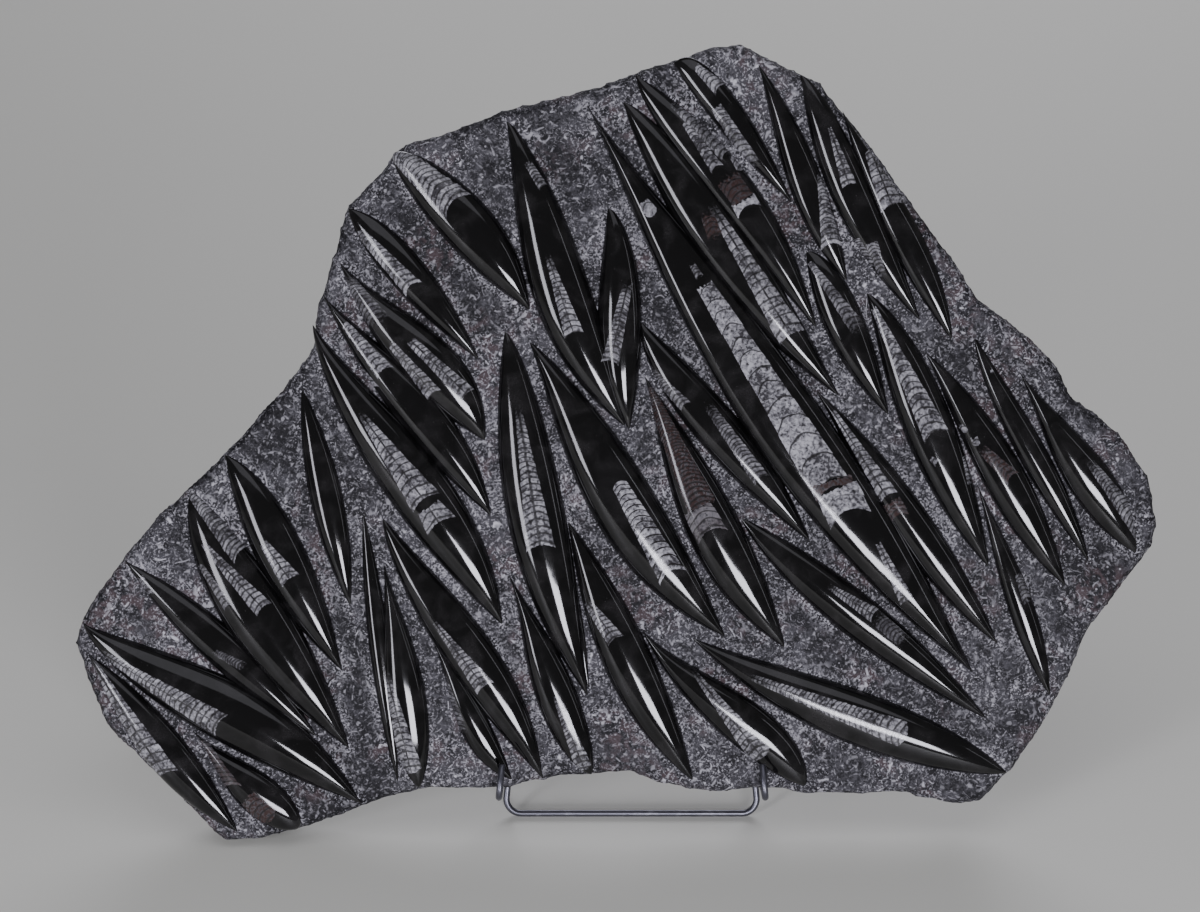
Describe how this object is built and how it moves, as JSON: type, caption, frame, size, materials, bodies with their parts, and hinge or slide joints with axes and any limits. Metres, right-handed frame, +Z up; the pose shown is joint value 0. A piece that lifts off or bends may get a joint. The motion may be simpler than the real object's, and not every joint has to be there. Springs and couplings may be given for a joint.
{
  "type": "orthoceras fossil plate on a wire easel",
  "caption": "Dark limestone plate with polished black ridges around pale orthoceras shells, leaning back on a low black wire easel.",
  "frame": {"origin": "on the surface that the easel stands on, under the middle of the whole object", "axes": "+Z up, +X towards the plate's right end as seen from the front, the plate faces -Y and leans back towards +Y"},
  "size_m": [0.652, 0.2256, 0.4393],
  "materials": {
    "black_limestone": "chiselled dark grey ground, polished black ridges with pale grey shells",
    "black_steel_wire": "satin black paint"
  },
  "bodies": {
    "root": {"fossil_plate": "black_limestone", "front_frame": "black_steel_wire", "left_hook": "black_steel_wire", "right_hook": "black_steel_wire", "back_leg": "black_steel_wire"}
  },
  "joints": []
}
